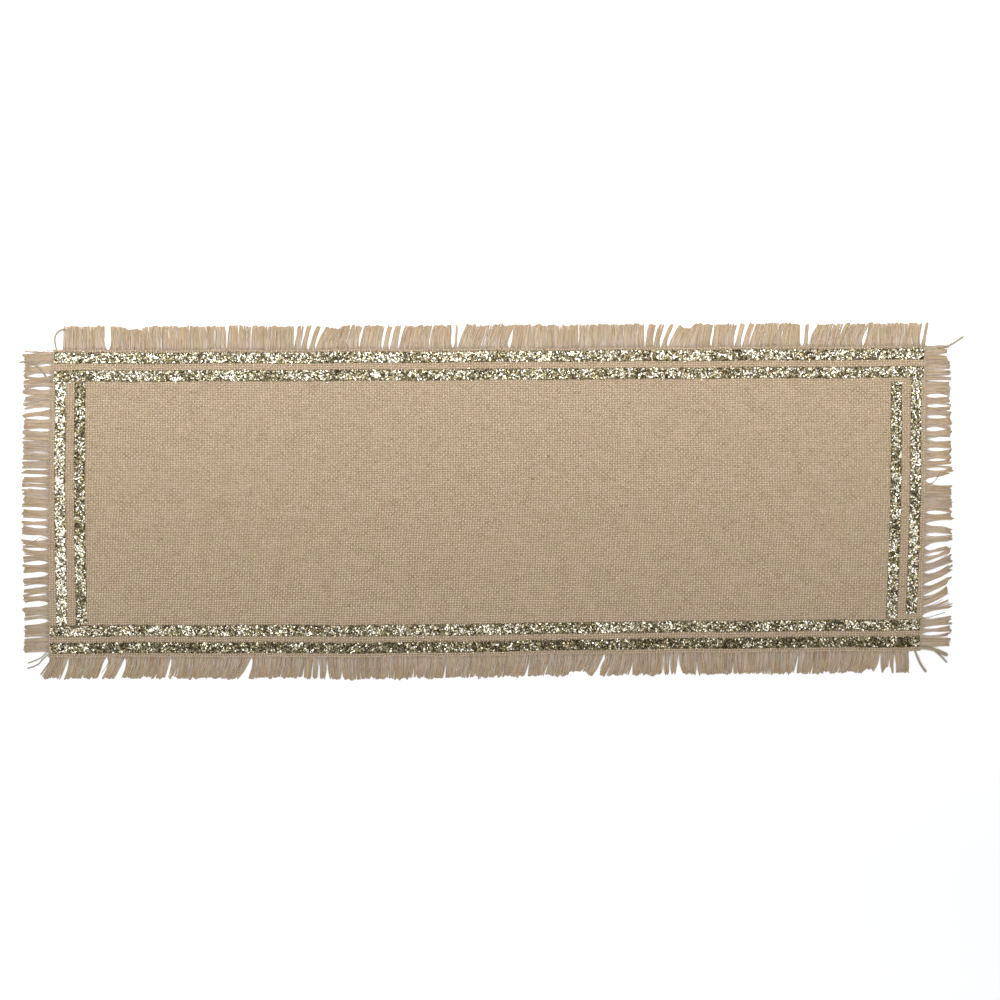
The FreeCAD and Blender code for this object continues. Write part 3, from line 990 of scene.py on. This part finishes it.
class RUNNER_OT_fringe(bpy.types.Operator):
    """Fray one side of the cloth into its fringe"""

    bl_idname = "runner.fringe"
    bl_label = "Fringe"

    side: bpy.props.EnumProperty(
        name="Side",
        description="Which side to fray",
        items=[(s, s.title(), "") for s in LONG_SIDES + SHORT_SIDES],
    )

    def execute(self, context):
        weave, settings = context.scene.runner_weave, context.scene.runner_fringe
        side = self.side
        name = f"fringe_strands_{side}"
        rng = random_for(name)
        long = edge_length(side)
        yarns = weave.crosswise_yarns if side in LONG_SIDES else weave.lengthwise_yarns
        pitch = long / yarns
        count = yarns * settings.strands
        bare_start, bare_end = np.array(BARE_ENDS[side]) * MM
        root = (np.arange(count) + 0.5) / settings.strands * pitch - long / 2
        root = root[(root > bare_start - long / 2) & (root < long / 2 - bare_end)]
        count = len(root)
        root = root + rng.normal(0, pitch * 0.08, count)

        gaps = tuft_gaps(side, rng)
        tuft = np.clip(np.searchsorted(gaps[:, 0], root) - 1, 0, len(gaps) - 2)
        left, right = gaps[tuft], gaps[tuft + 1]
        part = (root - left[:, 0]) / np.maximum(right[:, 0] - left[:, 0], 1e-6)
        pull = (1 - part)[:, None] * left[:, 1:] / 2 - part[:, None] * right[:, 1:] / 2
        leans = np.array(LEANS[side], float) * MM
        middle = (left[:, 0] + right[:, 0]) / 2
        lean = np.interp(0.5 * middle + 0.5 * root, leans[:, 0], leans[:, 1])
        lean = lean + rng.normal(0, 0.35 * MM, len(gaps))[tuft] + rng.normal(0, 0.3 * MM, count)
        crown = 1 - (2 * part - 1) ** 2

        out = np.linspace(-0.04, 1, STRAND_RINGS)[None]
        cut = cut_lengths(side, root, settings.ragged, rng)
        reach = np.clip(out, 0, 1)
        waist = np.sin(math.pi * reach ** 0.72)
        bend = rng.normal(0, 0.18 * MM, (count, 1)) * np.sin(2.4 * math.pi * reach)
        along = (root[:, None] + pull[:, :1] * waist + pull[:, 1:] * reach ** 2.5
                 + lean[:, None] * reach ** 1.5 + bend)
        layer = rng.random((count, 1))
        height = (0.35 * MM * (1 - smooth_step(reach * 2)) + 0.06 * MM + 0.5 * MM * layer
                  + crown[:, None] * 0.3 * MM * waist + 0.5 * MM * (rng.random((count, 1)) ** 6) * reach)
        paths = fringe_place(side, along, out * cut[:, None], height)

        fine = np.where(rng.random(count) < 0.35, 0.6, 1.0)
        narrow = 1.0 if side in LONG_SIDES else 0.80
        taper = np.interp(reach, (0, 0.6, 1), (1, 1.05, 0.95))
        widths = narrow * settings.strand_width * fine[:, None] * taper
        ob = strand_mesh(name, paths, widths, settings.strand_thickness)
        yarn = (root / pitch + yarns).astype(int)
        # Painted light: each side's fringe starts from its painted lightness, with random tone per yarn and
        # per strand.
        tone = FRINGE_PAINTED_LIGHT[side] + 0.10 * rng.normal(size=2 * yarns)[yarn]
        tone = tone + 0.10 * rng.normal(size=count)
        # Painted shade: strands that lie lower, under the others, are darker.
        tone -= 0.1 * (1 - layer[:, 0])
        set_value(ob, "yarn_tone_and_painted_light", np.repeat(tone, STRAND_RINGS * 3))
        set_value(ob, "reach", np.repeat(np.broadcast_to(reach, (count, STRAND_RINGS)).ravel(), 3))
        turn = math.pi / 2 if side in LONG_SIDES else 0.0
        kind = "long" if side in LONG_SIDES else "short"
        label = f"Jute, {kind} side fringe"
        material = bpy.data.materials.get(label) or fringe_material(label, settings, turn)
        finish_piece(ob, "jute_fringe", material)
        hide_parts(f"fringe_{side}")
        return {"FINISHED"}


# Yarns that have come loose at the corners. Each is the corner it belongs to, its width, and the points it
# passes, in millimetres from that corner of the cloth, with their height above the table.
LOOSE_YARNS = (
    ("back_left", 1.5, ((3.5, -1, 1.2), (1.7, 6, 1.6), (1.5, 12, 2.2), (4.5, 18.6, 2.4), (12, 20.5, 1.6))),
    ("back_left", 0.35, ((-1.5, 4.7, 1.4), (-8.4, 6.7, 2.0), (-18.3, 9.7, 0.8))),
    ("back_left", 0.6, ((2.5, -0.5, 1.3), (-5.4, -0.5, 2.2), (-13.3, -3.9, 2.0), (-25, -5, 1.0))),
    ("back_left", 1.7,
     ((-33, -13, 1.2), (-26.5, -11, 2.0), (-21, -13, 2.4), (-13, -18, 2.0), (-7, -27, 1.2))),
    ("back_left", 0.6, ((-3, -12, 1.6), (-9, -14, 2.4), (-15, -17, 2.0), (-25, -19, 1.2))),
    ("back_right", 1.5, ((12, -2, 1.6), (20.6, -0.8, 2.0), (28.7, 3.2, 1.8), (37.1, 9.1, 1.0))),
    ("back_right", 0.6, ((-2, 0, 1.0), (-1.6, 8, 1.3), (0.2, 15, 1.2), (2.7, 22, 0.8))),
    ("back_right", 0.3, ((3, 1, 1.0), (6, 5, 1.5), (10.5, 10, 0.8))),
    ("back_right", 0.8, ((14, -125, 1.4), (11.5, -131, 2.4), (5.5, -136.6, 2.0), (-1, -138, 1.2))),
    ("back_right", 0.7, ((0, -92, 1.2), (8, -91, 2.0), (16, -88, 2.0), (24, -90, 1.0))),
    ("front_right", 2.0, ((-5.9, 0, 1.0), (-3, -7, 1.6), (0, -14, 1.6), (5, -20.4, 1.0))),
    ("front_right", 3.0, ((-4.9, 3.4, 1.2), (7, 3, 2.0), (15, 1, 1.8), (25.7, -3.8, 1.0))),
    ("front_right", 1.5, ((4.9, 5.5, 1.2), (12.8, 1, 2.2), (19.8, -5, 1.8), (25.7, -11.2, 0.9))),
    ("front_right", 0.6, ((-2, 32, 1.4), (8, 33, 2.2), (16, 36, 1.6), (24, 38, 0.8))),
    ("front_left", 1.1, ((-0.5, 6.4, 1.3), (-5.4, 0.8, 1.7), (-12, -2.5, 1.7), (-20, -5.4, 0.8))),
    ("front_left", 1.2, ((4, 5.7, 1.3), (-5, 0, 1.8), (-10, -8, 1.5), (-20.5, -10.5, 0.8))),
    ("front_left", 1.3, ((3, -2.2, 1.3), (-3, -10, 1.6), (-7.6, -17, 0.8))),
    ("front_left", 0.7, ((1, 115, 1.3), (-7, 120.5, 2.2), (-13, 115, 2.0), (-22, 111, 1.0))),
)
CORNERS = {"front_left": 0, "front_right": 1, "back_right": 2, "back_left": 3}
LOOSE_RINGS = 16


def through(points, rings):
    """Evenly spaced points on one smooth curve, taken from a curve object that is then removed."""
    data = bpy.data.curves.new("route", "CURVE")
    data.dimensions = "3D"
    data.resolution_u = 12
    spline = data.splines.new("NURBS")
    spline.points.add(len(points) - 1)
    for point, place in zip(spline.points, points):
        point.co = (*place, 1)
    spline.order_u = 3
    spline.use_endpoint_u = True
    curve = bpy.data.objects.new("route", data)
    mesh = bpy.data.meshes.new_from_object(curve)
    line = np.array([v.co for v in mesh.vertices])
    bpy.data.objects.remove(curve)
    bpy.data.curves.remove(data)
    bpy.data.meshes.remove(mesh)
    steps = np.concatenate([[0], np.cumsum(np.linalg.norm(np.diff(line, axis=0), axis=1))])
    even = np.linspace(0, steps[-1], rings)
    return np.stack([np.interp(even, steps, line[:, axis]) for axis in range(3)], axis=1)


class RUNNER_OT_loose_yarns(bpy.types.Operator):
    """Add the yarns that have come loose at the corners"""

    bl_idname = "runner.loose_yarns"
    bl_label = "Loose Yarns"

    def execute(self, context):
        settings = context.scene.runner_fringe
        material = weathered_material("Jute, loose yarns", settings)
        for corner, number in CORNERS.items():
            name = f"loose_yarns_{corner}"
            rng = random_for(name)
            paths, widths = [], []
            for home, width, points in LOOSE_YARNS:
                if home != corner:
                    continue
                base = np.array([*CLOTH[number], 0])
                line = through([base + np.array(p) * MM for p in points], LOOSE_RINGS)
                plies = 5 if width > 1.4 else 3 if width > 0.5 else 1
                for ply in range(plies):
                    turn = np.linspace(0, 9, LOOSE_RINGS) + ply * 2 * math.pi / plies
                    around = np.stack([np.cos(turn), np.sin(turn), 0.5 * np.cos(turn)], axis=1)
                    spread = 0.3 * width * MM if plies > 1 else 0.0
                    around *= np.linspace(0.7, 1.2, LOOSE_RINGS)[:, None] * spread
                    paths.append(line + around + rng.normal(0, 0.04 * MM, line.shape))
                    widths.append(np.full(LOOSE_RINGS, width * MM / (1.9 if plies > 1 else 1)))
            paths, widths = np.array(paths), np.array(widths)
            ob = strand_mesh(name, paths, widths, 0.35 * MM)
            tone = 0.35 + 0.2 * rng.random(len(paths))
            set_value(ob, "yarn_tone_and_painted_light", np.repeat(tone, LOOSE_RINGS * 3))
            finish_piece(ob, "jute_fringe", material)
        return {"FINISHED"}


class RUNNER_OT_stray_fibres(bpy.types.Operator):
    """Scatter fine fibres that stand proud of the cloth and the fringe"""

    bl_idname = "runner.stray_fibres"
    bl_label = "Stray Fibres"

    count: bpy.props.IntProperty(name="Count", description="How many fibres", default=700, min=1)

    def execute(self, context):
        settings = context.scene.runner_fringe
        rng = random_for("stray_fibres")
        rings = 7
        count = self.count
        u = (rng.random(count) - 0.5) * CLOTH_LENGTH
        v = (rng.random(count) - 0.5) * CLOTH_WIDTH
        heading = rng.random(count) * 2 * math.pi
        size = rng.uniform(5, 15, count) * MM
        curl = rng.normal(0, 1.2, count)
        reach = np.linspace(0, 1, rings)[None]
        angle = heading[:, None] + curl[:, None] * reach
        step_u = np.cumsum(np.cos(angle), axis=1) / rings * size[:, None]
        step_v = np.cumsum(np.sin(angle), axis=1) / rings * size[:, None]
        height = CLOTH_TOP + 0.05 * MM + rng.uniform(0.1, 0.9, (count, 1)) * MM * np.sin(math.pi * reach)
        paths = lay(u[:, None] + step_u, v[:, None] + step_v, height)
        widths = np.repeat(rng.uniform(0.10, 0.2, (count, 1)) * MM, rings, axis=1)
        ob = strand_mesh("stray_fibres", paths, widths, 0.1 * MM)
        set_value(ob, "yarn_tone_and_painted_light", np.repeat(rng.uniform(0.5, 1.0, count), rings * 3))
        finish_piece(ob, "jute_cloth", jute_material("Jute, stray fibres", settings))
        return {"FINISHED"}


# ---- Stage ----

def area_light(name, place, aim, size, power, tint, spread=math.pi):
    """A soft rectangular light, turned towards a point of the table."""
    data = bpy.data.lights.new(name, "AREA")
    data.shape = "RECTANGLE"
    data.size, data.size_y = size
    data.energy = power
    data.color = tint
    data.spread = spread
    light = bpy.data.objects.new(name, data)
    light.location = place
    light.rotation_euler = (Vector(aim) - light.location).to_track_quat("-Z", "Y").to_euler()
    bpy.context.scene.collection.objects.link(light)


KEY_SPREAD = math.radians(29)
# The runner lies a little left of the middle of the picture.
CAMERA_PLACE = (12.9 * MM, 1.0 * MM)


class RUNNER_OT_stage(bpy.types.Operator):
    """Set the floor, the light and the camera"""

    bl_idname = "runner.stage"
    bl_label = "Studio"

    def execute(self, context):
        studio = context.scene.runner_studio
        bpy.ops.object.select_all(action="DESELECT")
        bpy.ops.mesh.primitive_plane_add(size=12, location=(0, 0, -0.05 * MM))
        floor = bpy.context.object
        floor.name = "table_top"
        floor.data.materials.append(floor_material(studio.floor))
        warm, cool = (1.0, 0.985, 0.95), (0.95, 0.97, 1.0)
        area_light("Key light", (0, 1.0, 1.5), (0, 0.3, 0), (2.6, 0.3), studio.key_power, warm, KEY_SPREAD)
        area_light("Fill light", (-0.7, -0.9, 2.3), (0, 0, 0), (1.8, 1.4), studio.fill_power, cool)
        world = bpy.data.worlds.new("Surroundings")
        context.scene.world = world
        world.use_nodes = True
        background = world.node_tree.nodes["Background"]
        background.inputs["Color"].default_value = (0.98, 0.985, 1.0, 1)
        background.inputs["Strength"].default_value = studio.sky
        self.camera(context, studio)
        context.scene.view_settings.view_transform = "Standard"
        return {"FINISHED"}

    def camera(self, context, studio):
        """Looks straight down on the runner."""
        data = bpy.data.cameras.new("Camera")
        data.lens = studio.lens
        camera = bpy.data.objects.new("Camera", data)
        distance = studio.view_height * studio.lens / data.sensor_width
        camera.location = (*CAMERA_PLACE, CLOTH_TOP + distance)
        context.scene.collection.objects.link(camera)
        context.scene.camera = camera


# ---- Panel and script ----

class RUNNER_PT_build(bpy.types.Panel):
    """Lists what the runner is made of"""

    bl_label = "Jute Table Runner"
    bl_space_type = "VIEW_3D"
    bl_region_type = "UI"
    bl_category = "Runner"

    def draw(self, context):
        layout = self.layout
        for group in ("runner_weave", "runner_glitter", "runner_fringe", "runner_studio"):
            settings = getattr(context.scene, group)
            column = layout.column(align=True)
            for name in settings.bl_rna.properties.keys():
                if name not in ("name", "rna_type"):
                    column.prop(settings, name)
        layout.operator(RUNNER_OT_stage.bl_idname)
        layout.operator(RUNNER_OT_web_and_shade.bl_idname)
        layout.operator(RUNNER_OT_yarns.bl_idname)
        layout.operator(RUNNER_OT_glitter_band.bl_idname)
        layout.operator(RUNNER_OT_fringe.bl_idname)
        layout.operator(RUNNER_OT_loose_yarns.bl_idname)
        layout.operator(RUNNER_OT_stray_fibres.bl_idname)


CLASSES = (
    WeaveSettings, GlitterSettings, FringeSettings, StudioSettings,
    RUNNER_OT_stage, RUNNER_OT_web_and_shade, RUNNER_OT_yarns, RUNNER_OT_glitter_band, RUNNER_OT_fringe,
    RUNNER_OT_loose_yarns, RUNNER_OT_stray_fibres, RUNNER_PT_build,
)


def register():
    """Adds the classes and the scene's settings."""
    for cls in CLASSES:
        bpy.utils.register_class(cls)
    bpy.types.Scene.runner_weave = bpy.props.PointerProperty(type=WeaveSettings)
    bpy.types.Scene.runner_glitter = bpy.props.PointerProperty(type=GlitterSettings)
    bpy.types.Scene.runner_fringe = bpy.props.PointerProperty(type=FringeSettings)
    bpy.types.Scene.runner_studio = bpy.props.PointerProperty(type=StudioSettings)


def unregister():
    """Removes the settings and the classes."""
    del bpy.types.Scene.runner_studio
    del bpy.types.Scene.runner_fringe
    del bpy.types.Scene.runner_glitter
    del bpy.types.Scene.runner_weave
    for cls in reversed(CLASSES):
        bpy.utils.unregister_class(cls)


def main():
    register()
    bpy.ops.runner.stage()
    bpy.ops.runner.ground()
    bpy.ops.runner.yarns(crosswise=False)
    bpy.ops.runner.yarns(crosswise=True)
    for band in BANDS:
        bpy.ops.runner.glitter_band(band=band)
    for side in LONG_SIDES + SHORT_SIDES:
        bpy.ops.runner.fringe(side=side)
    bpy.ops.runner.loose_yarns()
    bpy.ops.runner.stray_fibres()


if __name__ == "__main__":
    main()
